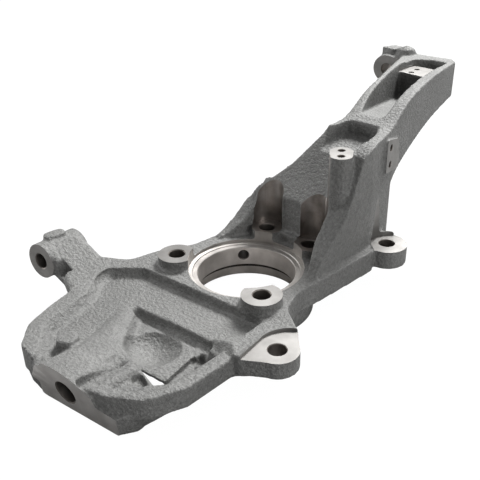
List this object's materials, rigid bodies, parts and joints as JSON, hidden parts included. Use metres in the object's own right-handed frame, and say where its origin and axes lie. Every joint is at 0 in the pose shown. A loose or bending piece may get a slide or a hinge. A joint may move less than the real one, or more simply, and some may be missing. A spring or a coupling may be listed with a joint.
{
  "type": "steering knuckle",
  "caption": "Cast-iron steering knuckle with a hub bore, long curved upper arm, caliper ears, tie rod eye and ball joint seats.",
  "frame": {"origin": "on the wheel axis, in the outboard face that the hub bearing bolts against", "axes": "+Z along the wheel axis, inboard; +Y up along the knuckle towards its upper arm; +X towards the caliper ears"},
  "size_m": [0.274, 0.558, 0.161],
  "materials": {
    "cast_iron": "as cast, with machined seats and bores"
  },
  "bodies": {
    "root": {"knuckle": "cast_iron"}
  },
  "joints": []
}
